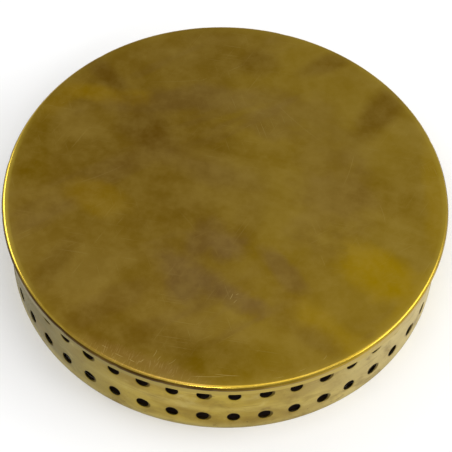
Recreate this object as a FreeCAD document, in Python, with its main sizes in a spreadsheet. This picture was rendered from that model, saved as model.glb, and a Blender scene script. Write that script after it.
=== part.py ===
"""Shallow brass hand drum: a flat beaten brass head on a perforated brass band, open underneath.

Row frame: millimetres, +Z up, origin on the drum's axis at the foot of the band.
The front of the drum is -Y and the joint of the band is at the back, +Y.
"""
import FreeCAD, Part
import math
import os

import Sketcher

doc = FreeCAD.newDocument("brass_hand_drum")

# ---------------------------------------------------------------- driving dimensions
size = {
    # head plate: a brass disc whose edge is rolled to a bead and turned down as a skirt
    "head_radius": 125.0,
    "drum_height": 47.6,
    "head_sheet": 0.8,
    "bead_radius": 2.3,
    "neck_radius": 1.0,
    "skirt_depth": 15.6,
    "skirt_gap": 0.1,
    # the skirt's lip is cut away across the front and back, sloping down to full depth at each side
    "relief_rise": 6.1,
    "relief_left": 76.0,
    "relief_right": 56.0,
    "relief_left_foot": 114.0,
    "relief_right_foot": 114.0,
    "wire_clearance": 0.05,
    # band: a strip of sheet brass bent to a ring, butt jointed at the back
    "band_radius": 122.3,
    "band_sheet": 0.6,
    "band_top_gap": 0.3,
    "band_joint": 0.6,
    # vents: two rows of punched holes; every second column was struck again, to one side, which
    # dented the wall there without going through
    "vent_columns": 46.0,
    "vent_radius": 3.6,
    "lower_row": 12.1,
    "upper_row": 34.5,
    "restrike_shift": 1.4,
    "restrike_radius": 3.1,
    "restrike_depth": 0.3,
    # hoops soldered inside the band at its two edges
    "hoop_sheet": 2.0,
    "hoop_width": 6.5,
    "hoop_joint": 0.8,
    "solder_leg": 1.2,
    # strap and rivets that close the joint of the band
    "strap_sheet": 1.0,
    "strap_angle": 4.4,
    "strap_clearance": 0.4,
    "rivet_radius": 1.0,
    "rivet_head_radius": 1.8,
    "rivet_head_rise": 0.8,
    "rivet_offset_angle": 1.15,
    "rivet_rows": 4.0,
}
# sizes that follow from the ones above
size["vent_pitch"] = 360 / size["vent_columns"]
size["band_bore"] = size["band_radius"] - size["band_sheet"]
size["hoop_bore"] = size["band_bore"] - size["hoop_sheet"]
size["strap_bore"] = size["band_bore"] - size["strap_sheet"]
size["dent_level"] = size["band_radius"] - size["restrike_depth"]
size["skirt_bore"] = size["band_radius"] + size["skirt_gap"]
size["skirt_radius"] = size["skirt_bore"] + size["head_sheet"]
size["skirt_lip"] = size["drum_height"] - size["skirt_depth"]
size["relief_top"] = size["skirt_lip"] + size["relief_rise"]
size["head_under"] = size["drum_height"] - size["head_sheet"]
size["bead_middle"] = size["drum_height"] - size["bead_radius"]
size["bead_ring"] = size["head_radius"] - size["bead_radius"]
size["wire_radius"] = size["bead_radius"] - size["head_sheet"] - size["wire_clearance"]
size["band_top"] = size["head_under"] - size["band_top_gap"]
size["bearing_foot"] = size["head_under"] - size["hoop_width"]
size["strap_foot"] = size["hoop_width"] + size["solder_leg"] + size["strap_clearance"]
size["strap_top"] = size["bearing_foot"] - size["solder_leg"] - size["strap_clearance"]

sheet = doc.addObject("Spreadsheet::Sheet", "Sizes")
for row, (name, value) in enumerate(size.items(), start=1):
    sheet.set(f"A{row}", name)
    sheet.set(f"B{row}", str(round(value, 6)))
    sheet.setAlias(f"B{row}", name)
doc.recompute()


# ---------------------------------------------------------------- helpers
def new_body(label):
    """A PartDesign body whose label names its STEP file."""
    body = doc.addObject("PartDesign::Body", label)
    body.Label = label
    return body


def origin_feature(body, role):
    """One of the body's own origin planes or axes."""
    return next(item for item in body.Origin.OriginFeatures if item.Role == role)


def new_sketch(body, name, plane, turn=0.0, level=0.0):
    """A sketch on one of the body's origin planes, turned about its upright axis and moved out to a level."""
    sketch = body.newObject("Sketcher::SketchObject", name)
    sketch.AttachmentSupport = [(origin_feature(body, plane), "")]
    sketch.MapMode = "FlatFace"
    rotation = FreeCAD.Rotation(FreeCAD.Vector(0, 1, 0), turn)
    outward = rotation.multVec(FreeCAD.Vector(0, 0, level))
    sketch.AttachmentOffset = FreeCAD.Placement(outward, rotation)
    return sketch


def bind(sketch, constraint, expression):
    """Adds a dimension to a sketch and binds it to an expression over the sheet."""
    index = sketch.addConstraint(constraint)
    sketch.setExpression(f"Constraints[{index}]", expression)
    return index


def cell(name):
    """The expression that reads a size."""
    return f"Sizes.{name}"


def point(x, z):
    return FreeCAD.Vector(x, z, 0)


def profile(sketch, corners):
    """A closed outline of straight sides; each corner is (x name, z name) read from the sheet."""
    spots = [(size.get(x, 0.0), size.get(z, 0.0)) for x, z in corners]
    count = len(corners)
    for i in range(count):
        start, end = spots[i], spots[(i + 1) % count]
        sketch.addGeometry(Part.LineSegment(point(*start), point(*end)))
    for i in range(count):
        sketch.addConstraint(Sketcher.Constraint("Coincident", i, 2, (i + 1) % count, 1))
    for i, (x, z) in enumerate(corners):
        for kind, name in (("DistanceX", x), ("DistanceY", z)):
            if name:
                bind(sketch, Sketcher.Constraint(kind, -1, 1, i, 1, size[name]), cell(name))
            else:
                axis = -2 if kind == "DistanceX" else -1
                sketch.addConstraint(Sketcher.Constraint("PointOnObject", i, 1, axis))


def revolve(body, sketch, name):
    """Turns a profile once round the drum's axis."""
    turned = body.newObject("PartDesign::Revolution", name)
    turned.Profile = sketch
    turned.ReferenceAxis = (sketch, ["V_Axis"])
    turned.Angle = 360
    sketch.Visibility = False
    return turned


def cut_joint(body, name, width, side):
    """Cuts the narrow gap where a bent strip's two ends meet, at the back (+1) or the front (-1)."""
    sketch = new_sketch(body, f"{name}_outline", "XY_Plane")
    half, reach = size[width] / 2, side * size["head_radius"]
    corners = [(-half, 0.0), (half, 0.0), (half, reach), (-half, reach)]
    for i in range(4):
        sketch.addGeometry(Part.LineSegment(point(*corners[i]), point(*corners[(i + 1) % 4])))
    for i in range(4):
        sketch.addConstraint(Sketcher.Constraint("Coincident", i, 2, (i + 1) % 4, 1))
    for i, way in ((1, "Vertical"), (2, "Horizontal"), (3, "Vertical")):
        sketch.addConstraint(Sketcher.Constraint(way, i))
    sketch.addConstraint(Sketcher.Constraint("Symmetric", 0, 1, 0, 2, -2))
    sketch.addConstraint(Sketcher.Constraint("PointOnObject", 0, 1, -1))
    bind(sketch, Sketcher.Constraint("DistanceX", 0, 1, 0, 2, size[width]), cell(width))
    if side > 0:
        reach_size = Sketcher.Constraint("DistanceY", 1, 1, 1, 2, abs(reach))
    else:
        reach_size = Sketcher.Constraint("DistanceY", 1, 2, 1, 1, abs(reach))
    bind(sketch, reach_size, cell("head_radius"))
    gap = body.newObject("PartDesign::Pocket", name)
    gap.Profile = sketch
    gap.Type = "ThroughAll"
    gap.Midplane = True
    sketch.Visibility = False
    return gap


# ---------------------------------------------------------------- head plate
def head_plate():
    """The struck plate: flat face, rolled bead, neck drawn in under it and a short skirt."""
    body = new_body("head_plate")
    sketch = new_sketch(body, "head_profile", "XZ_Plane")
    top, sheet_thick = size["drum_height"], size["head_sheet"]
    bead, neck = size["bead_radius"], size["neck_radius"]
    bead_x, bead_z = size["head_radius"] - bead, top - bead
    skirt_out, skirt_in = size["skirt_radius"], size["skirt_bore"]
    neck_x = skirt_out + neck
    drop = math.acos((neck_x - bead_x) / (bead + neck))
    neck_z = bead_z - (bead + neck) * math.sin(drop)
    lip = size["skirt_lip"]
    bead_centre, neck_centre = point(bead_x, bead_z), point(neck_x, neck_z)
    up = FreeCAD.Vector(0, 0, 1)

    def arc(centre, radius, start, end):
        return Part.ArcOfCircle(Part.Circle(centre, up, radius), start, end)

    face, outer_bead, outer_neck, skirt = 0, 1, 2, 3
    lip_edge, bore, inner_neck, inner_bead, under, middle = 4, 5, 6, 7, 8, 9
    sketch.addGeometry([
        Part.LineSegment(point(0, top), point(bead_x, top)),
        arc(bead_centre, bead, -drop, math.pi / 2),
        arc(neck_centre, neck, math.pi - drop, math.pi),
        Part.LineSegment(point(skirt_out, neck_z), point(skirt_out, lip)),
        Part.LineSegment(point(skirt_out, lip), point(skirt_in, lip)),
        Part.LineSegment(point(skirt_in, lip), point(skirt_in, neck_z)),
        arc(neck_centre, neck + sheet_thick, math.pi - drop, math.pi),
        arc(bead_centre, bead - sheet_thick, -drop, math.pi / 2),
        Part.LineSegment(point(bead_x, top - sheet_thick), point(0, top - sheet_thick)),
        Part.LineSegment(point(0, top - sheet_thick), point(0, top)),
    ])
    # (curve, end) pairs that meet; an arc runs anticlockwise from its end 1 to its end 2
    tangent = [
        (face, 2, outer_bead, 2), (outer_bead, 1, outer_neck, 1), (outer_neck, 2, skirt, 1),
        (bore, 2, inner_neck, 2), (inner_neck, 1, inner_bead, 1), (inner_bead, 2, under, 1),
    ]
    square = [(skirt, 2, lip_edge, 1), (lip_edge, 2, bore, 1), (under, 2, middle, 1), (middle, 2, face, 1)]
    for ends in tangent:
        sketch.addConstraint(Sketcher.Constraint("Tangent", *ends))
    for ends in square:
        sketch.addConstraint(Sketcher.Constraint("Coincident", *ends))
    for line in (face, lip_edge, under):
        sketch.addConstraint(Sketcher.Constraint("Horizontal", line))
    sketch.addConstraint(Sketcher.Constraint("PointOnObject", face, 1, -2))
    sketch.addConstraint(Sketcher.Constraint("PointOnObject", under, 2, -2))
    sketch.addConstraint(Sketcher.Constraint("Coincident", outer_bead, 3, inner_bead, 3))
    sketch.addConstraint(Sketcher.Constraint("Coincident", outer_neck, 3, inner_neck, 3))
    sketch.addConstraint(Sketcher.Constraint("Vertical", skirt))
    bind(sketch, Sketcher.Constraint("Radius", outer_bead, bead), cell("bead_radius"))
    bind(sketch, Sketcher.Constraint("Radius", outer_neck, neck), cell("neck_radius"))
    bind(sketch, Sketcher.Constraint("DistanceY", -1, 1, face, 1, top), cell("drum_height"))
    bind(
        sketch,
        Sketcher.Constraint("DistanceX", -1, 1, outer_bead, 3, bead_x),
        "Sizes.head_radius - Sizes.bead_radius",
    )
    bind(sketch, Sketcher.Constraint("DistanceX", -1, 1, skirt, 2, skirt_out), cell("skirt_radius"))
    bind(sketch, Sketcher.Constraint("DistanceY", -1, 1, skirt, 2, lip), cell("skirt_lip"))
    bind(sketch, Sketcher.Constraint("DistanceY", under, 2, face, 1, sheet_thick), cell("head_sheet"))
    revolve(body, sketch, "head_turning")
    doc.recompute()
    whole = len(body.Shape.Faces)
    relieve_skirt(body)
    doc.recompute()
    if len(body.Shape.Faces) <= whole:
        raise SystemExit("the relief missed the skirt")
    return body


def relieve_skirt(body):
    """Cuts the skirt's lip higher across the front and back, with a slope down to each side."""
    sketch = new_sketch(body, "skirt_relief_outline", "XZ_Plane")
    left, right = -1, 1
    corners = [
        (left, "relief_left_foot", "skirt_lip"),
        (right, "relief_right_foot", "skirt_lip"),
        (right, "relief_right", "relief_top"),
        (left, "relief_left", "relief_top"),
    ]
    spots = [point(side * size[x], size[z]) for side, x, z in corners]
    for i in range(4):
        sketch.addGeometry(Part.LineSegment(spots[i], spots[(i + 1) % 4]))
    for i in range(4):
        sketch.addConstraint(Sketcher.Constraint("Coincident", i, 2, (i + 1) % 4, 1))
    for i, (side, x, z) in enumerate(corners):
        ends = (-1, 1, i, 1) if side == right else (i, 1, -1, 1)
        bind(sketch, Sketcher.Constraint("DistanceX", *ends, size[x]), cell(x))
        bind(sketch, Sketcher.Constraint("DistanceY", -1, 1, i, 1, size[z]), cell(z))
    relief = body.newObject("PartDesign::Pocket", "skirt_relief")
    relief.Profile = sketch
    relief.Type = "ThroughAll"
    relief.Midplane = True
    sketch.Visibility = False


# ---------------------------------------------------------------- perforated band
def holes(body, name, turn, centres, radius, level=0.0):
    """Round cuts in the wall, square to it, on the line at this angle from the front.

    Each centre is (name of the shift along the wall or "", height, expression of the height).
    The cut starts at the level, measured from the drum's axis, and goes outward from there.
    """
    sketch = new_sketch(body, f"{name}_outline", "XZ_Plane", turn, level)
    for index, (shift, height, expression) in enumerate(centres):
        centre = point(size[shift] if shift else 0.0, height)
        sketch.addGeometry(Part.Circle(centre, FreeCAD.Vector(0, 0, 1), size[radius]))
        bind(sketch, Sketcher.Constraint("Radius", index, size[radius]), cell(radius))
        bind(sketch, Sketcher.Constraint("DistanceY", -1, 1, index, 3, height), expression)
        if shift:
            along = Sketcher.Constraint("DistanceX", -1, 1, index, 3, size[shift])
            bind(sketch, along, cell(shift))
        else:
            sketch.addConstraint(Sketcher.Constraint("PointOnObject", index, 3, -2))
    hole = body.newObject("PartDesign::Pocket", name)
    hole.Profile = sketch
    hole.Type = "Length"
    hole.Reversed = True
    hole.Refine = False
    hole.setExpression("Length", cell("head_radius"))
    sketch.Visibility = False
    doc.recompute()
    return hole


def repeat_round(body, hole, count):
    """Repeats a column of holes evenly round the band."""
    ring = body.newObject("PartDesign::PolarPattern", f"{hole.Name}_ring")
    ring.Originals = [hole]
    ring.Axis = (origin_feature(body, "Z_Axis"), [""])
    ring.Angle = 360
    ring.Refine = False
    ring.setExpression("Occurrences", count)
    body.Tip = ring
    doc.recompute()


def drill_for_rivets(body):
    """The two columns of rivet holes, one each side of the joint at the back."""
    half_turn = 180
    heights = [(("", height, rule)) for height, rule in rivet_heights()]
    for side, way in (("left", -1), ("right", 1)):
        turn = half_turn + way * size["rivet_offset_angle"]
        holes(body, f"{body.Name}_rivets_{side}", turn, heights, "rivet_radius")


def perforated_band():
    """The wall of the drum, with 46 columns of two vents; every second column was struck twice."""
    body = new_body("perforated_band")
    sketch = new_sketch(body, "band_profile", "XZ_Plane")
    profile(sketch, [
        ("band_bore", ""), ("band_radius", ""), ("band_radius", "band_top"), ("band_bore", "band_top"),
    ])
    revolve(body, sketch, "band_turning")
    doc.recompute()
    faces = [len(body.Shape.Faces)]
    rows = ("lower_row", "upper_row")
    vents = holes(
        body, "vents", size["vent_pitch"] / 2, [("", size[row], cell(row)) for row in rows], "vent_radius"
    )
    repeat_round(body, vents, cell("vent_columns"))
    faces.append(len(body.Shape.Faces))
    restrikes = holes(
        body,
        "restrikes",
        -size["vent_pitch"] / 2,
        [("restrike_shift", size[row], cell(row)) for row in rows],
        "restrike_radius",
        size["dent_level"],
    )
    repeat_round(body, restrikes, "Sizes.vent_columns / 2")
    faces.append(len(body.Shape.Faces))
    cut_joint(body, "band_joint_cut", "band_joint", 1)
    doc.recompute()
    faces.append(len(body.Shape.Faces))
    drill_for_rivets(body)
    faces.append(len(body.Shape.Faces))
    print("faces of the band after each cut:", faces)
    if any(before == after for before, after in zip(faces, faces[1:])):
        raise SystemExit("a cut in the band missed it")
    return body


# ---------------------------------------------------------------- hoops and solder
def hoop(label, foot, top, side):
    """A flat strip bent to a ring inside the band, with its ends meeting at the front or back."""
    body = new_body(label)
    sketch = new_sketch(body, f"{label}_profile", "XZ_Plane")
    profile(sketch, [
        ("hoop_bore", foot), ("band_bore", foot), ("band_bore", top), ("hoop_bore", top),
    ])
    revolve(body, sketch, f"{label}_turning")
    doc.recompute()
    cut_joint(body, f"{label}_joint", "hoop_joint", side)
    return body


def solder(label, bore, level, upward):
    """A fillet of solder in the corner at (bore, level); its legs run inward, and up or down."""
    body = new_body(label)
    sketch = new_sketch(body, f"{label}_profile", "XZ_Plane")
    x, z, leg = size[bore], size[level], size["solder_leg"]
    corners = [(x, z), (x, z + upward * leg), (x - leg, z)]
    for i in range(3):
        sketch.addGeometry(Part.LineSegment(point(*corners[i]), point(*corners[(i + 1) % 3])))
    for i in range(3):
        sketch.addConstraint(Sketcher.Constraint("Coincident", i, 2, (i + 1) % 3, 1))
    sketch.addConstraint(Sketcher.Constraint("Vertical", 0))
    sketch.addConstraint(Sketcher.Constraint("Horizontal", 2))
    sketch.addConstraint(Sketcher.Constraint("Equal", 0, 2))
    bind(sketch, Sketcher.Constraint("DistanceX", -1, 1, 0, 1, x), cell(bore))
    bind(sketch, Sketcher.Constraint("DistanceY", -1, 1, 0, 1, z), cell(level))
    bind(sketch, Sketcher.Constraint("DistanceX", 2, 1, 2, 2, leg), cell("solder_leg"))
    revolve(body, sketch, f"{label}_run")
    return body


# ---------------------------------------------------------------- strap and rivets
def seam_strap():
    """The curved backing strap inside the joint of the band, between the two hoops."""
    body = new_body("seam_strap")
    sketch = new_sketch(body, "strap_profile", "YZ_Plane")
    profile(sketch, [
        ("strap_bore", "strap_foot"), ("band_bore", "strap_foot"),
        ("band_bore", "strap_top"), ("strap_bore", "strap_top"),
    ])
    bend = body.newObject("PartDesign::Revolution", "strap_bend")
    bend.Profile = sketch
    bend.ReferenceAxis = (sketch, ["V_Axis"])
    bend.Midplane = True
    bend.setExpression("Angle", cell("strap_angle"))
    sketch.Visibility = False
    doc.recompute()
    plain = body.Shape.Volume
    drill_for_rivets(body)
    if not plain > body.Shape.Volume:
        raise SystemExit("the rivet holes missed the strap")
    return body


def rivet_heights():
    """(height, expression for it) of each row of rivets, evenly spaced up the strap."""
    rows = int(size["rivet_rows"])
    span = size["strap_top"] - size["strap_foot"]
    for row in range(rows):
        part_way = (row + 0.5) / rows
        rule = f"Sizes.strap_foot + (Sizes.strap_top - Sizes.strap_foot) * {part_way}"
        yield size["strap_foot"] + span * part_way, rule


def rivet():
    """One rivet along +X: a domed head outside the band, its shank and the set tail inside."""
    shank, head, rise = size["rivet_radius"], size["rivet_head_radius"], size["rivet_head_rise"]
    outside, inside = size["band_radius"], size["strap_bore"]
    dome = (head * head + rise * rise) / (2 * rise)
    along = FreeCAD.Vector(1, 0, 0)
    stem = Part.makeCylinder(shank, outside - inside, FreeCAD.Vector(inside, 0, 0), along)
    ball = Part.makeSphere(dome, FreeCAD.Vector(outside + rise - dome, 0, 0))
    slab = Part.makeCylinder(head, rise, FreeCAD.Vector(outside, 0, 0), along)
    tail_ball = Part.makeSphere(dome, FreeCAD.Vector(inside - rise + dome, 0, 0))
    tail_slab = Part.makeCylinder(head, rise, FreeCAD.Vector(inside - rise, 0, 0), along)
    return stem.fuse([ball.common(slab), tail_ball.common(tail_slab)]).removeSplitter()


def seam_rivets():
    """The rivets through the band and its strap, as one group of separate solids."""
    one, placed = rivet(), []
    back = 90
    for height, _ in rivet_heights():
        for side in (-1, 1):
            copy = one.copy()
            copy.rotate(FreeCAD.Vector(), FreeCAD.Vector(0, 0, 1), back + side * size["rivet_offset_angle"])
            copy.translate(FreeCAD.Vector(0, 0, height))
            placed.append(copy)
    group = doc.addObject("Part::Feature", "seam_rivets")
    group.Label = "seam_rivets"
    group.Shape = Part.makeCompound(placed)
    return group


def bead_wire():
    """The stiffening wire that the edge of the head is rolled round."""
    ring = doc.addObject("Part::Torus", "bead_wire")
    ring.Label = "bead_wire"
    ring.setExpression("Radius1", cell("bead_ring"))
    ring.setExpression("Radius2", cell("wire_radius"))
    ring.setExpression("Placement.Base.z", cell("bead_middle"))
    return ring


# ---------------------------------------------------------------- assembly and export
parts = [
    head_plate(),
    bead_wire(),
    perforated_band(),
    hoop("bearing_hoop", "bearing_foot", "head_under", -1),
    hoop("base_hoop", "", "hoop_width", -1),
    solder("head_solder", "hoop_bore", "head_under", -1),
    solder("bearing_solder", "band_bore", "bearing_foot", -1),
    solder("base_solder", "band_bore", "hoop_width", 1),
    seam_strap(),
    seam_rivets(),
]
doc.recompute()

failed = [item.Name for item in doc.Objects if "Invalid" in item.State or "Error" in item.State]
if failed:
    raise SystemExit(f"objects left failed: {failed}")
os.makedirs("parts", exist_ok=True)
for part in parts:
    shape = part.Shape
    if shape.isNull() or not shape.isValid():
        raise SystemExit(f"{part.Label} has no valid shape")
    shape.exportStep(f"parts/{part.Label}.step")
    box = shape.BoundBox
    corners = [round(v, 2) for v in (box.XMin, box.YMin, box.ZMin, box.XMax, box.YMax, box.ZMax)]
    print(part.Label, len(shape.Solids), "solids", round(shape.Volume, 1), "mm3", corners)
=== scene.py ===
import math

import bmesh
import bpy
from mathutils import Matrix, Vector, noise


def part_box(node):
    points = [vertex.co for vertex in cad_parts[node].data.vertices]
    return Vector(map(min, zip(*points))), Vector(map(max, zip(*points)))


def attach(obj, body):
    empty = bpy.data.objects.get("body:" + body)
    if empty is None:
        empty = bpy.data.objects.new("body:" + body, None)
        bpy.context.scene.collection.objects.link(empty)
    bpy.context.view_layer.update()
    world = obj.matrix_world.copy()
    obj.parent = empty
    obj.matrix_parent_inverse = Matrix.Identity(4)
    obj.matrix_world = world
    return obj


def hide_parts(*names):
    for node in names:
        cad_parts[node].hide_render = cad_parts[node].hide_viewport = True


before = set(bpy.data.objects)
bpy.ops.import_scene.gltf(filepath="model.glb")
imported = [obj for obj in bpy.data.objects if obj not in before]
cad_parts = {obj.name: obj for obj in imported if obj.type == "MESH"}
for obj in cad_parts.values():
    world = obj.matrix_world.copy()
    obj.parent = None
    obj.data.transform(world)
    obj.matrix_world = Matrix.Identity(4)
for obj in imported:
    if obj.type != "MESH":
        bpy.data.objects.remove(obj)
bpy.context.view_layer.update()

MM = 0.001

# ---------------------------------------------------------------- sizes, in millimetres
HEAD_LOW, HEAD_HIGH = (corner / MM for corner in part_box("head_plate"))
BAND_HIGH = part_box("perforated_band")[1] / MM
HEAD_RADIUS = HEAD_HIGH.x
HEAD_TOP = HEAD_HIGH.z
HEAD_SHEET = 0.8
BEAD_RADIUS = 2.3
FACE_RADIUS = HEAD_RADIUS - BEAD_RADIUS
BEAD_MIDDLE = HEAD_TOP - BEAD_RADIUS
BEAD_FOOT = HEAD_TOP - 2 * BEAD_RADIUS
NECK_RADIUS = 1.0
SKIRT_GAP = 0.1
SKIRT_LIP = HEAD_LOW.z
# the skirt's lip is cut away across the front and back: (x, height) along it from left to right
LIP_TOP = 38.1
LIP_PATH = ((-114, SKIRT_LIP), (-76, LIP_TOP), (56, LIP_TOP), (114, SKIRT_LIP))
BAND_RADIUS = BAND_HIGH.x
BAND_TOP = BAND_HIGH.z
BAND_SHEET = 0.6
BAND_CHAMFER = 0.25
BAND_JOINT = 0.6
VENT_COLUMNS = 46
VENT_ROWS = (12.1, 34.5)
VENT_HALF_WIDTH = 3.45
VENT_HALF_HEIGHT = 4.0
RESTRIKE_SHIFT = 1.4
RESTRIKE_SCALE = 0.93
RESTRIKE_DEPTH = 0.3
JOINT_COLUMN = VENT_COLUMNS // 2
CELL_WIDTH = 2 * math.pi * BAND_RADIUS / VENT_COLUMNS
TOUCH = 0.001


# ---------------------------------------------------------------- helpers
def smooth_step(value):
    """0 below 0, 1 above 1, eased between."""
    value = min(max(value, 0.0), 1.0)
    return value * value * (3 - 2 * value)


def fade(distance, reach):
    """1 at no distance, easing to nothing a few reaches away."""
    return math.exp(-((distance / reach) ** 2))


def degrees_apart(angle, place):
    """From a place in degrees to an angle in radians, in degrees from -180 to 180."""
    return (math.degrees(angle) - place + 180) % 360 - 180


def rgb(red, green, blue):
    """A colour given as sRGB numbers from 0 to 255."""
    def linear(value):
        value /= 255
        return value / 12.92 if value <= 0.04045 else ((value + 0.055) / 1.055) ** 2.4
    return linear(red), linear(green), linear(blue), 1.0


def mesh_object(name, points, faces, layers=None):
    """An object from points in millimetres; a layer is one number for each point."""
    mesh = bpy.data.meshes.new(name)
    mesh.from_pydata([Vector(point) * MM for point in points], [], faces)
    for label, values in (layers or {}).items():
        layer = mesh.attributes.new(label, "FLOAT", "POINT")
        layer.data.foreach_set("value", values)
    mesh.update()
    piece = bpy.data.objects.new(name, mesh)
    bpy.context.collection.objects.link(piece)
    return piece


def weld(piece, distance=0.002, sharp=math.radians(40)):
    """Joins points that lie on each other, turns the faces outward and shades all but sharp edges smooth."""
    shape = bmesh.new()
    shape.from_mesh(piece.data)
    bmesh.ops.remove_doubles(shape, verts=shape.verts, dist=distance * MM)
    bmesh.ops.recalc_face_normals(shape, faces=shape.faces)
    for face in shape.faces:
        face.smooth = True
    for edge in shape.edges:
        if len(edge.link_faces) == 2:
            edge.smooth = edge.calc_face_angle() < sharp
    shape.to_mesh(piece.data)
    shape.free()


def arc(centre, radius, start, end, steps):
    """Points on a circle in the (radius, height) plane, angles in radians from outward."""
    for step in range(steps + 1):
        angle = start + (end - start) * step / steps
        yield centre[0] + radius * math.cos(angle), centre[1] + radius * math.sin(angle)


# ---------------------------------------------------------------- head
HEAD_POINTS_AROUND = 480
FACE_RINGS = 60
BEAD_STEPS = 30
NECK_STEPS = 6
INNER_BEAD_STEPS = 12
INNER_NECK_STEPS = 4
# painted shade and dark reflection on the rolled edge begins at this share of the bead's radius above its
# middle, thickens over the next share, and thins out and ends this far below the neck, in millimetres
SHADE_START = 0.76
SHADE_EASE = 0.14
SHADE_THINS = 0.4
SHADE_ENDS = 0.9
# the rounding of the skirt's lip, and the height that stays straight above it
LIP_ROUNDING = 0.15
LIP_STRAIGHT = 0.4
# the beaten face: noise cells per millimetre and depths in millimetres, none next to the edge
SWELL_CELLS, SWELL_DEPTH = 0.018, 0.20
RIPPLE_CELLS, RIPPLE_DEPTH = 0.06, 0.03
CALM_EDGE = 25
# the rolled edge's waviness: noise cells to its radius and depths in millimetres
SWAY_CELLS, SWAY_DEPTH = 6.0, 0.05
WAVER_CELLS, WAVER_DEPTH = 21.0, 0.025
# the face's own faint polish, painted in the highlight's colour as a faint sheen, and the width of the
# stretch beside the edge that has it
FAINT_POLISH = 0.08
FAINT_WIDTH = 6
# small knocks on the rolled edge: (angle from +X in degrees, depth in mm, width in degrees)
KNOCKS = (
    (-91, 0.30, 0.7), (-104, 0.22, 0.9), (-116, 0.28, 0.8), (-121, 0.20, 0.6), (-78, 0.16, 1.0),
    (-62, 0.14, 0.8), (-133, 0.20, 1.1), (20, 0.18, 1.0), (75, 0.22, 1.2), (128, 0.20, 0.9),
    (171, 0.22, 1.2), (-171, 0.16, 0.8),
)


def knock_depth(angle):
    """How far the rolled edge is pushed in at this angle, in millimetres."""
    return sum(depth * fade(degrees_apart(angle, place), width) for place, depth, width in KNOCKS)


def head_profile():
    """(radius, height, painted shade) from the middle of the face round the bead to the underside; the lower
    bead, the neck, the lip and the underside are painted dark.
    """
    bead = (FACE_RADIUS, BEAD_MIDDLE)
    skirt_outer = BAND_RADIUS + SKIRT_GAP + HEAD_SHEET
    skirt_inner = skirt_outer - HEAD_SHEET
    neck_across = skirt_outer + NECK_RADIUS
    drop = math.acos((neck_across - FACE_RADIUS) / (BEAD_RADIUS + NECK_RADIUS))
    neck_level = BEAD_MIDDLE - (BEAD_RADIUS + NECK_RADIUS) * math.sin(drop)
    neck = (neck_across, neck_level)
    profile = [(FACE_RADIUS * ring / FACE_RINGS, HEAD_TOP, 0.0) for ring in range(FACE_RINGS)]
    for radius, height in arc(bead, BEAD_RADIUS, math.pi / 2, -drop, BEAD_STEPS):
        level = (height - BEAD_MIDDLE) / BEAD_RADIUS
        profile.append((radius, height, smooth_step((SHADE_START - level) / SHADE_EASE)))
    for radius, height in arc(neck, NECK_RADIUS, math.pi - drop, math.pi, NECK_STEPS):
        profile.append((radius, height, 1.0))
    # down the skirt, where the painted shade ends just under the neck, and round its lip, which is painted
    # dark underneath
    profile += [
        (skirt_outer, neck_level - SHADE_THINS, 0.45),
        (skirt_outer, neck_level - SHADE_ENDS, 0.0),
        (skirt_outer, SKIRT_LIP + LIP_STRAIGHT, 0.0),
        (skirt_outer, SKIRT_LIP + LIP_ROUNDING, 0.0),
        (skirt_outer - LIP_ROUNDING, SKIRT_LIP, 0.5),
        (skirt_inner, SKIRT_LIP, 1.0),
        (skirt_inner, neck_level, 1.0),
    ]
    inner_neck, inner_bead = NECK_RADIUS + HEAD_SHEET, BEAD_RADIUS - HEAD_SHEET
    for radius, height in arc(neck, inner_neck, math.pi, math.pi - drop, INNER_NECK_STEPS):
        profile.append((radius, height, 1.0))
    for radius, height in arc(bead, inner_bead, -drop, math.pi / 2, INNER_BEAD_STEPS):
        profile.append((radius, height, 1.0))
    profile.append((FACE_RADIUS / 2, HEAD_TOP - HEAD_SHEET, 1.0))
    profile.append((0.0, HEAD_TOP - HEAD_SHEET, 1.0))
    return profile


def lip_height(x):
    """The height of the skirt's lip at this x."""
    for (x0, z0), (x1, z1) in zip(LIP_PATH, LIP_PATH[1:]):
        if x0 < x <= x1:
            return z0 + (z1 - z0) * (x - x0) / (x1 - x0)
    return SKIRT_LIP


def edge_polish_and_highlight(radius, height, angle):
    """How brightly the edge is rubbed, with its painted highlight: a thin line, brightest at the front, wider
    at the left, glinting on the knocks, over a wider sheen at the right.
    """
    if radius < FACE_RADIUS - 0.01 or height < BEAD_MIDDLE:
        near_edge = smooth_step((radius - FACE_RADIUS + FAINT_WIDTH) / FAINT_WIDTH)
        return FAINT_POLISH * near_edge * (height > HEAD_TOP - HEAD_SHEET)
    level = (height - BEAD_MIDDLE) / BEAD_RADIUS
    right = fade(degrees_apart(angle, 0), 60)
    left = fade(degrees_apart(angle, 186), 30)
    front = fade(degrees_apart(angle, 266), 13)
    # the highlight is painted strongest where the lamps reflect, and as glints on the knocks
    strength = min(0.38 + 0.62 * front + 0.62 * left + 0.30 * right + 2.0 * knock_depth(angle), 1.0)
    line_middle = 0.80 + 0.08 * left
    line_width = 0.07 + 0.22 * left
    return max(FAINT_POLISH + 0.25 * right, strength * fade(level - line_middle, line_width))


def edge_shade_share(radius, height, angle):
    """How much of the painted shade under the rolled edge is kept at this angle: least at the front right."""
    if height < BEAD_FOOT or radius < FACE_RADIUS:
        return 1.0
    lightened = 0.85 * math.exp(-((degrees_apart(angle, -42) / 40) ** 4))
    patchy = noise.noise(Vector((math.cos(angle), math.sin(angle), 0.5)) * 9.0)
    return min(max(0.95 - lightened + 0.15 * patchy, 0.0), 1.0)


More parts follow.
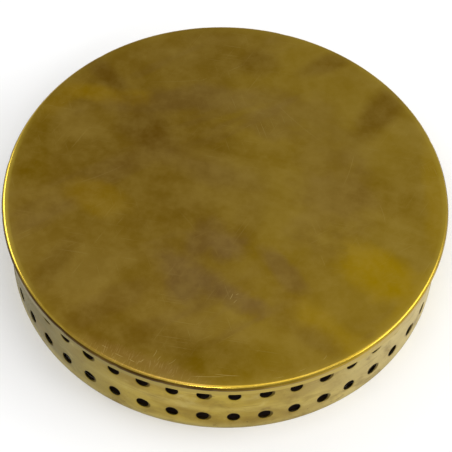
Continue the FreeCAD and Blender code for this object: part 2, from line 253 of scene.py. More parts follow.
def head_point(radius, height, angle):
    """A point of the head with the gentle unevenness of beaten sheet and the knocks on its edge."""
    outward = Vector((math.cos(angle), math.sin(angle), 0))
    spot = outward * radius
    if height > HEAD_TOP - HEAD_SHEET / 2 and radius < FACE_RADIUS:
        room = smooth_step((FACE_RADIUS - radius) / CALM_EDGE)
        swell = noise.noise(Vector((spot.x * SWELL_CELLS, spot.y * SWELL_CELLS, 3.0)))
        ripple = noise.noise(Vector((spot.x * RIPPLE_CELLS, spot.y * RIPPLE_CELLS, 9.0)))
        height -= room * (SWELL_DEPTH * (swell + 1) + RIPPLE_DEPTH * (ripple + 1))
    elif height < SKIRT_LIP + 2 * LIP_STRAIGHT:
        height = lip_height(spot.x) + (height - SKIRT_LIP)
    elif radius > FACE_RADIUS and height > BEAD_FOOT:
        sway = SWAY_DEPTH * (noise.noise(outward * SWAY_CELLS) + 1)
        waver = WAVER_DEPTH * (noise.noise(outward * WAVER_CELLS) + 1)
        reach = (radius - FACE_RADIUS) / BEAD_RADIUS
        radius -= reach * (sway + waver + knock_depth(angle))
    return outward.x * radius, outward.y * radius, height


def make_head():
    """The head as one turned mesh, fine enough for a clean outline."""
    around = HEAD_POINTS_AROUND
    profile = head_profile()
    # each point carries the edge's rubbed polish with its painted highlight, and its painted shade
    points, polish_and_highlight, grime_and_shade, faces = [], [], [], []
    for radius, height, dirt_and_shade in profile:
        for step in range(around):
            angle = 2 * math.pi * step / around
            shade_here = dirt_and_shade * edge_shade_share(radius, height, angle)
            points.append(head_point(radius, height, angle))
            polish_and_highlight.append(edge_polish_and_highlight(radius, height, angle) * (1 - shade_here))
            grime_and_shade.append(shade_here)
    for row in range(len(profile) - 1):
        low, high = row * around, (row + 1) * around
        for step in range(around):
            ahead = (step + 1) % around
            faces.append((low + step, low + ahead, high + ahead, high + step))
    piece = mesh_object("head_skin", points, faces, {"polish_and_highlight": polish_and_highlight, "grime_and_shade": grime_and_shade})
    weld(piece)
    return piece


# ---------------------------------------------------------------- band
# distances from a vent's edge at which the wall has rings of points, in millimetres, and then
# the shares of the way from the last of them to the edge of the vent's cell
EDGE_RINGS = (0.0, 0.14, 0.30, 0.48, 0.70, 0.95, 1.25, 1.60, 2.0, 2.6)
FAR_RINGS = (0.25, 0.5, 0.75, 1.0)
SIDE_POINTS = 16
# how far a vent's edge is drawn in, and how far the lip of a second strike stands up, in millimetres
EDGE_DROP = 0.16
DENT_LIP = 0.09


def cell_outline(low, high, centre):
    """Points round a vent's rectangular cell, the same number on each side, from its lower right corner."""
    half = CELL_WIDTH / 2
    corners = [(half, low), (half, high), (-half, high), (-half, low)]
    for index, (x0, z0) in enumerate(corners):
        x1, z1 = corners[(index + 1) % 4]
        for step in range(SIDE_POINTS):
            share = step / SIDE_POINTS
            yield x0 + (x1 - x0) * share, z0 + (z1 - z0) * share - centre


def outside_vent(x, z):
    """How far a place lies outside a vent's edge, in millimetres, measured from the vent's centre."""
    share = math.hypot(x / VENT_HALF_WIDTH, z / VENT_HALF_HEIGHT)
    return (share - 1) * (VENT_HALF_WIDTH + VENT_HALF_HEIGHT) / 2


def wall_depth(x, z, struck_twice):
    """(depth pushed in, grime and painted shade) at a place near a vent, measured from the vent's centre."""
    away = outside_vent(x, z)
    depth = EDGE_DROP * fade(away, 0.4)
    # grime with painted shade darkens the vent's drawn-in edge
    grime_and_shade = 0.55 * fade(away, 0.16) + 0.12 * fade(away, 1.0)
    if struck_twice:
        # the second strike left a dent with a raised lip, its inside darkened with grime and painted shade
        inside = -outside_vent((x - RESTRIKE_SHIFT) / RESTRIKE_SCALE, z / RESTRIKE_SCALE)
        depth += RESTRIKE_DEPTH * smooth_step(inside / 0.3)
        depth -= DENT_LIP * fade(inside + 0.25, 0.18)
        grime_and_shade = max(grime_and_shade, 0.80 * smooth_step((inside + 0.1) / 0.3), 0.55 * fade(inside + 0.1, 0.2))
    return depth, min(grime_and_shade, 1.0)


def wall_point(column, x, z, depth):
    """A flat place on the wall, measured from the column's middle, wrapped round the drum."""
    # the two cells at the back stand apart by the open joint
    left_of_joint = column == JOINT_COLUMN and x < TOUCH - CELL_WIDTH / 2
    right_of_joint = column == JOINT_COLUMN - 1 and x > CELL_WIDTH / 2 - TOUCH
    x += BAND_JOINT / 2 * (left_of_joint - right_of_joint)
    angle = 2 * math.pi * (column + 0.5) / VENT_COLUMNS + x / BAND_RADIUS - math.pi / 2
    radius = BAND_RADIUS - depth
    return radius * math.cos(angle), radius * math.sin(angle), z


class Wall:
    """The band's points, their grime and painted shade, and its faces, gathered one vent at a time."""

    def __init__(self):
        self.points = []
        self.grime_and_shade = []
        self.faces = []

    def add_ring(self, column, centre, ring, inner):
        """Adds a ring of points round a vent, on the wall's inner or outer side, and gives its start."""
        start = len(self.points)
        for x, z in ring:
            # the wall's inner side is painted fully dark, painted shade inside the drum
            depth, dirt_and_shade = (BAND_SHEET, 1.0) if inner else wall_depth(x, z, column % 2 == 1)
            self.points.append(wall_point(column, x, z + centre, depth))
            self.grime_and_shade.append(dirt_and_shade)
        return start

    def link(self, first, second, count):
        """Faces between two rings."""
        for step in range(count):
            ahead = (step + 1) % count
            self.faces.append((first + step, first + ahead, second + ahead, second + step))

    def add_cell(self, column, centre, low, high):
        """One vent and the wall round it, from the height low to the height high."""
        outline = list(cell_outline(low, high, centre))
        count = len(outline)
        rings = []
        for gap in EDGE_RINGS:
            wide, tall = VENT_HALF_WIDTH + gap, VENT_HALF_HEIGHT + gap
            rings.append([(x / math.hypot(x, z) * wide, z / math.hypot(x, z) * tall) for x, z in outline])
        near = rings[-1]
        for share in FAR_RINGS:
            rings.append([
                (a[0] + (b[0] - a[0]) * share, a[1] + (b[1] - a[1]) * share) for a, b in zip(near, outline)
            ])
        inner_edge = self.add_ring(column, centre, rings[0], True)
        outside = self.add_ring(column, centre, rings[0], False)
        self.link(inner_edge, outside, count)
        for ring in rings[1:]:
            wider = self.add_ring(column, centre, ring, False)
            self.link(outside, wider, count)
            outside = wider
        middle = self.add_ring(column, centre, near, True)
        self.link(middle, inner_edge, count)
        inside = self.add_ring(column, centre, outline, True)
        self.link(inside, middle, count)
        self.close_sides(column, centre, outline, outside, inside)

    def close_sides(self, column, centre, outline, outside, inside):
        """Closes the wall where a cell's side lies on the band's foot, its top or its joint."""
        for step, first in enumerate(outline):
            ahead = (step + 1) % len(outline)
            second = outline[ahead]
            levels = (first[1] + centre, second[1] + centre)
            corners = (outside + step, outside + ahead, inside + ahead, inside + step)
            if max(levels) < BAND_CHAMFER + TOUCH:
                self.close_foot(*corners)
            elif min(levels) > BAND_TOP - TOUCH or at_joint(column, first[0], second[0]):
                self.faces.append(corners)

    def close_foot(self, a, b, c, d):
        """The chamfered lower edge between the outside (a, b) and the inside (c, d) of the wall."""
        foot = len(self.points)
        for index, inset in ((a, BAND_CHAMFER), (b, BAND_CHAMFER), (c, 0.0), (d, 0.0)):
            x, y, _ = self.points[index]
            scale = 1 - inset / math.hypot(x, y)
            self.points.append((x * scale, y * scale, 0.0))
            # the chamfered foot is painted half dark, painted shade where it meets the floor
            self.grime_and_shade.append(0.5)
        self.faces.append((a, b, foot + 1, foot))
        self.faces.append((foot, foot + 1, foot + 2, foot + 3))
        self.faces.append((foot + 3, foot + 2, c, d))


def at_joint(column, first, second):
    """True where a cell's side, from one x to the other, lies on the joint at the back."""
    edge = CELL_WIDTH / 2 - TOUCH
    if column == JOINT_COLUMN:
        return max(first, second) < -edge
    if column == JOINT_COLUMN - 1:
        return min(first, second) > edge
    return False


def make_band():
    """The whole perforated wall, with its edges closed and the joint left open at the back."""
    wall = Wall()
    rows = ((VENT_ROWS[0], BAND_CHAMFER, BAND_TOP / 2), (VENT_ROWS[1], BAND_TOP / 2, BAND_TOP))
    for column in range(VENT_COLUMNS):
        for centre, low, high in rows:
            wall.add_cell(column, centre, low, high)
    piece = mesh_object("band_wall", wall.points, wall.faces, {"grime_and_shade": wall.grime_and_shade})
    weld(piece)
    return piece


# ---------------------------------------------------------------- node helpers
class Graph:
    """A material's node tree with short calls for the nodes used below."""

    def __init__(self, name):
        self.material = bpy.data.materials.new(name)
        self.material.use_nodes = True
        self.tree = self.material.node_tree
        self.shader = self.tree.nodes["Principled BSDF"]
        self.place = self.add("ShaderNodeTexCoord").outputs["Object"]

    def add(self, kind, inputs=None, **settings):
        """A node with its settings, its inputs fed from sockets or set to values."""
        node = self.tree.nodes.new(kind)
        for key, value in settings.items():
            setattr(node, key, value)
        for key, value in (inputs or {}).items():
            self.feed(node.inputs[key], value)
        return node

    def feed(self, socket, value):
        """Links a socket to another, or sets its own value."""
        if isinstance(value, bpy.types.NodeSocket):
            self.tree.links.new(value, socket)
        else:
            socket.default_value = value

    def math(self, operation, first, second=0.0):
        return self.add("ShaderNodeMath", {0: first, 1: second}, operation=operation).outputs[0]

    def strongest(self, values):
        """The largest of several values at each place."""
        values = iter(values)
        largest = next(values)
        for value in values:
            largest = self.math("MAXIMUM", largest, value)
        return largest

    def parts(self, vector=None):
        """A vector's X, Y and Z; the place on the object where none is given."""
        return self.add("ShaderNodeSeparateXYZ", {0: vector or self.place}).outputs

    def scaled(self, factors, turn=0.0, offset=(0, 0, 0), source=None):
        """Coordinates turned about Z and multiplied by factors, in cells per metre."""
        turning = {"Vector": source or self.place, "Rotation": (0, 0, turn)}
        turned = self.add("ShaderNodeMapping", turning).outputs[0]
        scaling = {"Vector": turned, "Scale": factors, "Location": offset}
        return self.add("ShaderNodeMapping", scaling).outputs[0]

    def moved(self, centre):
        """Coordinates from a place on the face, given in millimetres."""
        inputs = {0: self.place, 1: Vector((centre[0], centre[1], 0)) * MM}
        return self.add("ShaderNodeVectorMath", inputs, operation="SUBTRACT").outputs[0]

    def noise(self, vector, detail=4.0, roughness=0.55, distortion=0.0):
        values = {
            "Vector": vector, "Scale": 1.0, "Detail": detail, "Roughness": roughness,
            "Distortion": distortion,
        }
        return self.add("ShaderNodeTexNoise", values).outputs["Fac"]

    def ramp(self, value, low, high, start=0.0, end=1.0):
        """start below low, end above high, eased between."""
        values = {"Value": value, "From Min": low, "From Max": high, "To Min": start, "To Max": end}
        return self.add("ShaderNodeMapRange", values, interpolation_type="SMOOTHSTEP").outputs[0]

    def mix(self, factor, first, second, blend="MIX"):
        """The first colour where the factor is 0, and the second, or their blend, where it is 1."""
        node = self.add("ShaderNodeMix", data_type="RGBA", blend_type=blend)
        self.feed(node.inputs["Factor"], factor)
        self.feed(node.inputs[6], first)
        self.feed(node.inputs[7], second)
        return node.outputs[2]

    def tint(self, colour, tone, mask, amount):
        """The colour turned towards a tone by this amount where the mask is 1."""
        return self.mix(self.math("MULTIPLY", mask, amount), colour, tone)

    def layer(self, name):
        """The number that each point of the mesh carries under this name."""
        return self.add("ShaderNodeAttribute", attribute_name=name).outputs["Fac"]

    def patch(self, centre, reach, turn, ragged):
        """1 at a place on the face, easing to 0 at reach = (across, along), all in mm, with a ragged edge."""
        factors = (1 / (reach[0] * MM), 1 / (reach[1] * MM), 0)
        shape = self.scaled(factors, turn, source=self.moved(centre))
        away = self.add("ShaderNodeVectorMath", {0: shape}, operation="LENGTH").outputs["Value"]
        wander = self.noise(self.scaled((38, 38, 38), offset=(centre[0], centre[1], 0)), detail=5)
        wander = self.math("MULTIPLY", self.math("SUBTRACT", wander, 0.5), ragged * 4)
        return self.ramp(self.math("ADD", away, wander), 0.35, 1.15, 1.0, 0.0)

    def streaks(self, along, across, turn, low, high, offset=(0, 0, 0), source=None):
        """Thin lines: noise drawn out along one direction and cut off."""
        vector = self.scaled((along, across, 40), turn, offset, source)
        return self.ramp(self.noise(vector, detail=2, roughness=0.5), low, high)

    def scratch(self, centre, length, turn, bow, strength, width=0.15):
        """A thin scratch through a place on the face, in millimetres; bow is its rise over its length."""
        turning = {"Vector": self.moved(centre), "Rotation": (0, 0, -turn)}
        parts = self.parts(self.add("ShaderNodeMapping", turning).outputs[0])
        along = self.math("DIVIDE", parts["X"], length * MM / 2)
        curve = self.math("MULTIPLY", self.math("MULTIPLY", along, along), bow * MM)
        aside = self.math("ABSOLUTE", self.math("SUBTRACT", parts["Y"], curve))
        line = self.ramp(aside, width * MM * 0.4, width * MM, strength, 0.0)
        return self.math("MULTIPLY", line, self.ramp(self.math("ABSOLUTE", along), 0.4, 1.0, 1.0, 0.0))

    def finish(self, colour, roughness, relief, strength, distance=0.0003):
        """Feeds a metal's colour, roughness and small relief to the shader."""
        self.feed(self.shader.inputs["Base Color"], colour)
        self.feed(self.shader.inputs["Roughness"], roughness)
        self.shader.inputs["Metallic"].default_value = 1.0
        bump = {"Height": relief, "Strength": strength, "Distance": distance}
        self.feed(self.shader.inputs["Normal"], self.add("ShaderNodeBump", bump).outputs[0])
        return self.material


# ---------------------------------------------------------------- the head's brass
OLIVE = rgb(158, 128, 36)
DEEP_OLIVE = rgb(138, 108, 20)
GOLD = rgb(172, 138, 6)
DEEP_GOLD = rgb(140, 110, 4)
BLOOM = rgb(134, 104, 54)
PALE_BRASS = rgb(166, 138, 54)
UMBER = rgb(116, 82, 8)
MOTTLE = rgb(200, 172, 88)
RUBBED = rgb(166, 130, 68)
BRIGHT_LINE = rgb(226, 200, 120)
BRIGHT_SCUFF = rgb(222, 190, 118)
BRIGHT_SCRATCH = rgb(232, 206, 130)
# the rubbed edge's bright colour, which also paints its highlight
POLISH_HIGHLIGHT = rgb(230, 200, 78)
# painted shade and dark reflection under the rolled edge, in its neck and on the head's underside
EDGE_PAINTED_SHADE = rgb(72, 50, 10)
# the skirt's painted shade at the left and painted light at the right
SKIRT_PAINTED_SHADE = rgb(128, 114, 52)
SKIRT_PAINTED_LIGHT = rgb(184, 160, 70)
# what the darker left side and middle multiply the colour by
LEFT_DARKENING = (0.80, 0.75, 0.74, 1.0)

# stains on the face: (tone, raggedness, places), and each place is
# (middle in mm, reach in mm, turn in radians, amount)
STAINS = (
    (GOLD, 0.35, (
        ((-98, 62), (8, 26), 0.6, 0.50),
        ((-73, -6), (24, 12), 0.4, 0.55),
        ((85, -50), (27, 20), 0.5, 1.0),
        ((62, -90), (36, 12), 0.7, 0.55),
        ((118, 6), (8, 50), 0.0, 0.45),
        ((-70, 68), (30, 8), 0.1, 0.75),
        ((98, -71), (40, 6), -0.94, 0.60),
    )),
    (DEEP_GOLD, 0.35, (
        ((0, -106), (34, 16), 0.0, 0.85),
        ((12, -42), (8, 13), 0.3, 0.60),
        ((-50, -60), (22, 10), -0.5, 0.35),
        ((-110, 24), (15, 34), 0.15, 0.90),
    )),
    (PALE_BRASS, 0.30, (
        ((-88, 48), (18, 14), 0.3, 0.70),
        ((-76, -62), (20, 22), -0.3, 0.80),
        ((-30, 98), (26, 8), 0.1, 0.60),
        ((-2, 113), (26, 5), 0.0, 0.50),
    )),
    (BLOOM, 0.50, (
        ((0, -36), (13, 13), 0.4, 0.85),
        ((-24, -54), (14, 24), -0.7, 0.80),
        ((4, -66), (30, 10), 0.45, 0.85),
        ((32, -50), (18, 7), 0.9, 0.60),
        ((-30, 66), (52, 12), -0.1, 0.50),
        ((60, 0), (26, 34), 0.3, 0.40),
        ((-60, -74), (34, 9), -0.5, 0.22),
        ((-8, 14), (32, 12), 0.3, 0.30),
        ((42, 62), (34, 16), 0.4, 0.30),
        ((60, 30), (30, 22), 0.2, 0.20),
        ((-12, -34), (12, 18), 0.3, 0.60),
        ((26, 50), (18, 14), 0.2, 0.35),
    )),
    (UMBER, 0.20, (
        ((-48, 44), (20, 16), 0.2, 0.65),
        ((-28, -96), (30, 12), 0.1, 0.30),
        ((90, 66), (12, 36), 0.6, 0.70),
        ((-78, 90), (40, 8), 0.85, 0.60),
        ((52, -94), (18, 9), 0.5, 0.45),
        ((-92, -52), (9, 26), 0.5, 0.35),
        ((34, -70), (10, 26), 0.2, 0.30),
        ((60, 99), (26, 8), -0.5, 0.60),
        ((13, -20), (10, 17), 0.3, 0.30),
        ((16, 96), (16, 12), 0.0, 0.40),
        ((-38, 30), (14, 12), 0.2, 0.35),
    )),
)

# scratches on the face: (middle in mm, length in mm, turn in radians, bow in mm, strength)
SCRATCHES = (
    ((5, -68), 4.5, 1.2, 0.2, 0.55),
    ((7, -71), 3.5, 0.9, -0.2, 0.45),
    ((8, -66.5), 2.0, 0.5, 0.1, 0.5),
    ((-6, -118), 22, 0.03, 0.4, 0.40),
    ((4, -116.8), 15, -0.04, 0.3, 0.45),
    ((-34, -105), 6, 1.15, 0.4, 0.40),
    ((-32, -108), 4, 1.0, -0.3, 0.40),
    ((-25, -110), 7, 0.7, 0.5, 0.30),
    ((-41, -110), 4, 0.6, 0.3, 0.45),
    ((-46, -110), 4, -0.5, 0.2, 0.50),
    ((-53, -107), 6, -0.45, 0.2, 0.45),
    ((-61, -102), 4, -0.5, 0.2, 0.40),
    ((31, -117), 6, 0.25, 0.3, 0.30),
    ((43, -112), 5, 0.5, 0.2, 0.30),
    ((55, -104), 4, 1.0, 0.3, 0.35),
    ((-70, 10), 34, 0.5, 1.2, 0.12),
    ((40, 52), 46, -0.8, 1.5, 0.14),
    ((70, 20), 30, 1.3, 1.0, 0.14),
    ((-30, 80), 40, 0.1, 1.0, 0.12),
    ((-20, -20), 22, 2.2, 0.8, 0.10),
    ((88, -10), 16, 1.8, 0.5, 0.16),
)


def face_patina(g, cloud):
    """The brass before it was rubbed and scratched: clouds, wiped streaks, stains and a darker left side."""
    colour = g.mix(g.ramp(cloud, 0.34, 0.66), DEEP_OLIVE, OLIVE)
    wipe = g.noise(g.scaled((5, 26, 5), 0.35, (2, 5, 0)), distortion=0.3)
    colour = g.tint(colour, PALE_BRASS, g.ramp(wipe, 0.48, 0.68), 0.60)
    wipe = g.noise(g.scaled((6, 34, 6), -0.55, (7, 1, 0)), distortion=0.4)
    colour = g.tint(colour, BLOOM, g.ramp(wipe, 0.52, 0.70), 0.45)
    for tone, ragged, places in STAINS:
        for centre, reach, turn, amount in places:
            colour = g.tint(colour, tone, g.patch(centre, reach, turn, ragged), amount)
    # the left and the middle are darker than the right, with a wandering border
    sway = g.noise(g.scaled((14, 14, 14), 0.0, (9, 2, 0)), detail=3)
    sway = g.math("MULTIPLY", g.math("SUBTRACT", sway, 0.5), 0.12)
    across = g.math("ADD", g.parts()["X"], sway)
    return g.mix(g.ramp(across, -0.010, 0.036, 1.0, 0.0), colour, LEFT_DARKENING, "MULTIPLY")


def fine_lines(g):
    """Hair-thin wiping lines in four directions, more in some places than in others."""
    lines = g.strongest([
        g.streaks(34, 1500, 0.15, 0.64, 0.76),
        g.streaks(42, 1300, 1.25, 0.66, 0.78, (3, 1, 0)),
        g.streaks(50, 1400, -0.55, 0.66, 0.78, (7, 2, 0)),
        g.streaks(28, 1700, 2.1, 0.65, 0.77, (1, 9, 0)),
    ])
    places = g.noise(g.scaled((16, 16, 16), 0.0, (4, 4, 0)), detail=3)
    return g.math("MULTIPLY", lines, g.ramp(places, 0.42, 0.66, 0.15, 1.0))


def scuffed_edge(g, colour):
    """The edge at the front left is rubbed paler, with short marks that run towards it."""
    rubbed = g.patch((-42, -112), (46, 8), 0.36, 0.20)
    colour = g.tint(colour, RUBBED, rubbed, 0.35)
    scuffs = g.strongest([
        g.streaks(150, 1500, -1.30, 0.58, 0.70, (5, 5, 0)),
        g.streaks(170, 1400, -0.95, 0.60, 0.72, (2, 8, 0)),
    ])
    return g.tint(colour, BRIGHT_SCUFF, g.math("MULTIPLY", scuffs, rubbed), 0.24)


def edge_and_skirt(g, colour, polish_and_highlight, grime_and_shade):
    """The rubbed edge with its painted highlight, the painted shade under it, and the skirt, painted darker
    at the left and lighter at the right.
    """
    # the rubbed edge with its painted highlight
    colour = g.tint(colour, POLISH_HIGHLIGHT, polish_and_highlight, 0.9)
    # the painted shade under the edge is made uneven along it
    shade_variation = g.ramp(g.noise(g.scaled((60, 60, 60), 0.0, (8, 3, 0)), detail=3), 0.3, 0.6, 0.75, 1.0)
    colour = g.mix(g.math("MULTIPLY", grime_and_shade, shade_variation), colour, EDGE_PAINTED_SHADE)
    parts = g.parts()
    # the skirt is painted darker at the left and lighter at the right, as the light falls
    skirt = g.ramp(parts["Z"], (BEAD_FOOT - 1.2) * MM, (BEAD_FOOT - 0.4) * MM, 1.0, 0.0)
    skirt = g.math("MULTIPLY", skirt, g.ramp(grime_and_shade, 0.0, 0.4, 1.0, 0.0))
    return g.mix(skirt, colour, g.mix(g.ramp(parts["X"], -0.11, 0.06), SKIRT_PAINTED_SHADE, SKIRT_PAINTED_LIGHT))


def head_material():
    """Worn brass: clouded patina, wiped streaks, brown blooms, golden rubbed places and scratches, with a
    painted highlight on the rolled edge and painted shade under it.

    Each mask is made just before its use, and the scratches one by one, because the renderer holds
    only so many values of a material at a time, and past that it draws the material black.
    """
    g = Graph("worn_head_brass")
    cloud = g.noise(g.scaled((9, 13, 9), 0.3), detail=5, distortion=0.5)
    colour = face_patina(g, cloud)
    mottle = g.noise(g.scaled((70, 70, 70)), detail=6, roughness=0.65)
    colour = g.mix(g.ramp(mottle, 0.30, 0.75, 0.0, 0.22), colour, MOTTLE)
    lines = fine_lines(g)
    colour = g.tint(colour, BRIGHT_LINE, lines, 0.18)
    colour = scuffed_edge(g, colour)
    scratches = g.strongest(g.scratch(*mark) for mark in SCRATCHES)
    colour = g.mix(scratches, colour, BRIGHT_SCRATCH)
    # the rubbed polish with its painted highlight, and the painted shade, that each point of the head carries
    polish_and_highlight, grime_and_shade = g.layer("polish_and_highlight"), g.layer("grime_and_shade")
    colour = edge_and_skirt(g, colour, polish_and_highlight, grime_and_shade)
    rough = g.ramp(cloud, 0.3, 0.7, 0.40, 0.33)
    rough = g.math("SUBTRACT", rough, g.math("MULTIPLY", polish_and_highlight, 0.19))
    rough = g.math("ADD", rough, g.math("MULTIPLY", grime_and_shade, 0.2))
    rough = g.math("SUBTRACT", rough, g.math("MULTIPLY", lines, 0.06))
    relief = g.math("ADD", g.math("MULTIPLY", mottle, 0.5), g.math("MULTIPLY", lines, -0.35))
    relief = g.math("SUBTRACT", relief, g.math("MULTIPLY", scratches, 0.8))
    return g.finish(colour, rough, relief, 0.10)


# ---------------------------------------------------------------- the band's brass
BAND_BASE = rgb(180, 156, 56)
BAND_STAIN = rgb(150, 124, 38)
BAND_PALE = rgb(208, 188, 104)
BAND_BROWN = rgb(112, 86, 32)
BAND_PAINTED_LIGHT_SIDE = rgb(214, 198, 134)
BAND_PAINTED_SHADE_SIDE = rgb(108, 100, 50)
BAND_FOOT = rgb(160, 150, 106)
BAND_SPECKS = rgb(96, 72, 30)
BLOTCH_DARK = rgb(138, 114, 36)
BLOTCH_LIGHT = rgb(206, 190, 122)
VENT_GRIME_AND_SHADE = rgb(52, 36, 14)
# the two lines scribed round the band: (height in mm, offset of the noise that breaks it up)
SCRIBED_LINES = ((VENT_ROWS[1], 2.0), (23.5, 5.0))


def band_material():
    """Dull sheet brass: soft stains, rubbed bottom edge, drawn lines round the band, painted light at the
    right and painted shade at the left, and vents darkened with grime and painted shade.
    """
    g = Graph("dull_band_brass")
    place = g.parts()
    across, level = place["X"], place["Z"]
    angle = g.math("ARCTAN2", across, g.math("MULTIPLY", place["Y"], -1.0))
    around = g.math("MULTIPLY", angle, BAND_RADIUS * MM)
    # the wall laid flat: (distance round the band, height), in metres
    flat = g.add("ShaderNodeCombineXYZ", {"X": around, "Y": level}).outputs[0]
    cloud = g.noise(g.scaled((22, 40, 1), source=flat), detail=5, distortion=0.4)
    colour = g.mix(g.ramp(cloud, 0.35, 0.62), BAND_STAIN, BAND_BASE)
    drift = g.noise(g.scaled((7, 60, 1), 0.05, (3, 8, 0), flat))
    colour = g.mix(g.ramp(drift, 0.48, 0.72, 0.0, 0.6), colour, BAND_PALE)
    # painted light on the right side of the band and painted shade on its left
    colour = g.mix(g.ramp(across, 0.01, 0.10, 0.0, 0.60), colour, BAND_PAINTED_LIGHT_SIDE)
    colour = g.mix(g.ramp(across, -0.11, -0.03, 0.85, 0.0), colour, BAND_PAINTED_SHADE_SIDE)
    # the lowest few millimetres are rubbed pale and specked
    colour = g.tint(colour, BAND_PALE, g.ramp(level, 0.0, 0.0085, 1.0, 0.0), 0.65)
    colour = g.mix(g.ramp(level, 0.0, 0.0045, 0.55, 0.0), colour, BAND_FOOT)
    specks = g.ramp(g.noise(g.scaled((330, 420, 1), 0.0, (9, 2, 0), flat), detail=2), 0.66, 0.74)
    colour = g.mix(g.math("MULTIPLY", specks, g.ramp(level, 0.002, 0.012, 0.9, 0.30)), colour, BAND_SPECKS)
    spots = g.ramp(g.noise(g.scaled((95, 120, 1), 0.0, (6, 1, 0), flat), detail=3), 0.64, 0.76)
    colour = g.tint(colour, BAND_BROWN, spots, 0.6)
    blotches = g.noise(g.scaled((48, 70, 1), 0.2, (1, 4, 0), flat), 6, 0.65, 0.6)
    colour = g.mix(g.ramp(blotches, 0.47, 0.70, 0.0, 0.75), colour, BLOTCH_DARK)
    colour = g.mix(g.ramp(blotches, 0.26, 0.46, 0.40, 0.0), colour, BLOTCH_LIGHT)
    drawn = g.streaks(14, 1300, 0.0, 0.60, 0.72, source=flat)
    colour = g.tint(colour, BAND_BROWN, drawn, 0.30)
    # the lines that set out the rows are broken where they have worn away
    for height, offset in SCRIBED_LINES:
        off_line = g.math("ABSOLUTE", g.math("SUBTRACT", level, height * MM))
        line = g.ramp(off_line, 0.00008, 0.00022, 1.0, 0.0)
        broken = g.ramp(g.noise(g.scaled((40, 1, 1), 0.0, (offset, 0, 0), flat), detail=2), 0.52, 0.60)
        colour = g.tint(colour, BAND_BROWN, g.math("MULTIPLY", line, broken), 0.7)
    # the vents' edges, dents and bores and the wall's inside are darkened with grime and painted shade
    grime_and_shade = g.layer("grime_and_shade")
    colour = g.tint(colour, VENT_GRIME_AND_SHADE, grime_and_shade, 0.9)
    rough = g.math("ADD", g.ramp(cloud, 0.3, 0.7, 0.46, 0.36), g.math("MULTIPLY", grime_and_shade, 0.25))
    relief = g.math("ADD", g.math("MULTIPLY", drawn, -0.5), g.math("MULTIPLY", cloud, 0.3))
    return g.finish(colour, rough, relief, 0.12)


# ---------------------------------------------------------------- the plain metals
def plain_metal(name, light, dark, rough_low, rough_high, scale=60.0, relief=0.2):
    """A simple worn metal: two tones clouded together, with uneven gloss and fine relief."""
    g = Graph(name)
    cloud = g.noise(g.scaled((scale, scale, scale)), detail=5, roughness=0.6)
    colour = g.mix(g.ramp(cloud, 0.35, 0.68), dark, light)
    rough = g.ramp(cloud, 0.3, 0.7, rough_high, rough_low)
    grain = g.noise(g.scaled((scale * 9, scale * 9, scale * 9)))
    return g.finish(colour, rough, grain, relief, 0.0002)


def dress(node_names, material):
    """Gives these CAD nodes this material in every slot."""
    for node_name in node_names:
        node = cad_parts[node_name]
        node.data.materials.clear()
        node.data.materials.append(material)


# ---------------------------------------------------------------- pieces and their materials
head = make_head()
head.data.materials.append(head_material())
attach(head, "root")
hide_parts("head_plate")

band = make_band()
band.data.materials.append(band_material())
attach(band, "root")
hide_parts("perforated_band")

dress(
    ("bearing_hoop", "base_hoop", "seam_strap"),
    plain_metal("tarnished_brass", rgb(120, 92, 40), rgb(64, 46, 20), 0.40, 0.62),
)
dress(
    ("seam_rivets",),
    plain_metal("hammered_rivets", rgb(206, 178, 88), rgb(150, 120, 48), 0.28, 0.42, 300.0, 0.5),
)
dress(
    ("bead_wire",),
    plain_metal("drawn_steel_wire", rgb(150, 150, 146), rgb(96, 94, 90), 0.35, 0.5),
)
dress(
    ("head_solder", "bearing_solder", "base_solder"),
    plain_metal("soft_solder", rgb(168, 168, 162), rgb(104, 102, 96), 0.38, 0.6, 120.0, 0.6),
)


# ---------------------------------------------------------------- floor, lights and camera
FLOOR_HALF = 6000.0
# the sheet of painted shade inside the band: its radius and height in mm, and its number of points
SHADE_SHEET_RADIUS = 117.0
SHADE_SHEET_HEIGHT = 0.4
SHADE_SHEET_POINTS = 96


def stage_sheet(name, corners, material_name, colour, roughness, gloss):
    """A flat sheet of one plain colour that belongs to the set and not to the drum."""
    sheet = mesh_object(name, corners, [tuple(range(len(corners)))])
    g = Graph(material_name)
    g.shader.inputs["Base Color"].default_value = colour
    g.shader.inputs["Roughness"].default_value = roughness
    g.shader.inputs["Specular IOR Level"].default_value = gloss
    sheet.data.materials.append(g.material)


def make_floor():
    """A plain pale floor under the drum."""
    half = FLOOR_HALF
    corners = [(-half, -half, 0), (half, -half, 0), (half, half, 0), (-half, half, 0)]
    stage_sheet("floor", corners, "pale_floor", (0.93, 0.93, 0.93, 1.0), 0.9, 0.1)


def make_painted_shade_ground():
    """A dark sheet on the floor inside the band, painted shade for the drum's dark inside, which shows only
    through the vents.
    """
    rim = []
    for step in range(SHADE_SHEET_POINTS):
        turn = 2 * math.pi * step / SHADE_SHEET_POINTS
        rim.append((SHADE_SHEET_RADIUS * math.cos(turn), SHADE_SHEET_RADIUS * math.sin(turn), SHADE_SHEET_HEIGHT))
    stage_sheet("painted_shade_ground", rim, "painted_shade_cloth", (0.110, 0.075, 0.060, 1.0), 0.95, 0.0)


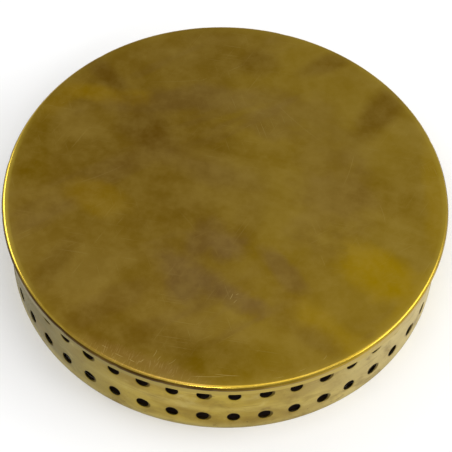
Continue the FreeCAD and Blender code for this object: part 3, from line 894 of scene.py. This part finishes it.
def make_light(name, azimuth, elevation, distance, size, power):
    """A soft light aimed at the drum; azimuth is from the front (-Y) towards +X, in degrees."""
    turn, rise = math.radians(azimuth), math.radians(elevation)
    level_share = math.cos(rise)
    away = Vector((math.sin(turn) * level_share, -math.cos(turn) * level_share, math.sin(rise)))
    data = bpy.data.lights.new(name, "AREA")
    data.shape = "RECTANGLE"
    data.size, data.size_y = size
    data.energy = power
    lamp = bpy.data.objects.new(name, data)
    lamp.location = away * distance
    lamp.rotation_euler = away.to_track_quat("Z", "Y").to_euler()
    bpy.context.collection.objects.link(lamp)


def make_world(strength):
    """An even white surround, which the brass reflects."""
    world = bpy.data.worlds.new("studio")
    world.use_nodes = True
    background = world.node_tree.nodes["Background"]
    background.inputs["Color"].default_value = (1.0, 1.0, 1.0, 1.0)
    background.inputs["Strength"].default_value = strength
    bpy.context.scene.world = world


def make_camera():
    """A long lens high in front of the drum, tipped a little to one side."""
    turn = math.radians(-0.367)
    distance, height = 546.3, 799.3
    yaw, pitch, roll = 0.0017, 0.962, 0.0427
    level_share = math.cos(pitch)
    forward = Vector((math.sin(yaw) * level_share, math.cos(yaw) * level_share, -math.sin(pitch)))
    level = Vector((math.cos(yaw), -math.sin(yaw), 0))
    upright = level.cross(forward)
    right = math.cos(roll) * level + math.sin(roll) * upright
    up = math.cos(roll) * upright - math.sin(roll) * level
    data = bpy.data.cameras.new("camera")
    data.sensor_width = 36.0
    data.lens = 132.2
    data.clip_end = 50.0
    camera = bpy.data.objects.new("camera", data)
    axes = Matrix((right, up, -forward)).transposed().to_4x4()
    placed = Matrix.Translation(Vector((0, -distance, height)) * MM) @ axes
    camera.matrix_world = Matrix.Rotation(turn, 4, "Z") @ placed
    bpy.context.collection.objects.link(camera)
    bpy.context.scene.camera = camera


make_floor()
make_painted_shade_ground()
make_world(strength=0.53)
make_light("left_softbox", azimuth=-118, elevation=32, distance=1.5, size=(0.8, 0.5), power=4.6)
make_light("right_softbox", azimuth=84, elevation=36, distance=1.5, size=(1.1, 0.7), power=8.5)
make_light("front_softbox", azimuth=-4, elevation=38, distance=1.8, size=(0.35, 0.25), power=2.5)
make_light("top_softbox", azimuth=20, elevation=78, distance=1.8, size=(1.4, 1.2), power=12.0)
make_camera()
bpy.context.scene.view_settings.view_transform = "Standard"
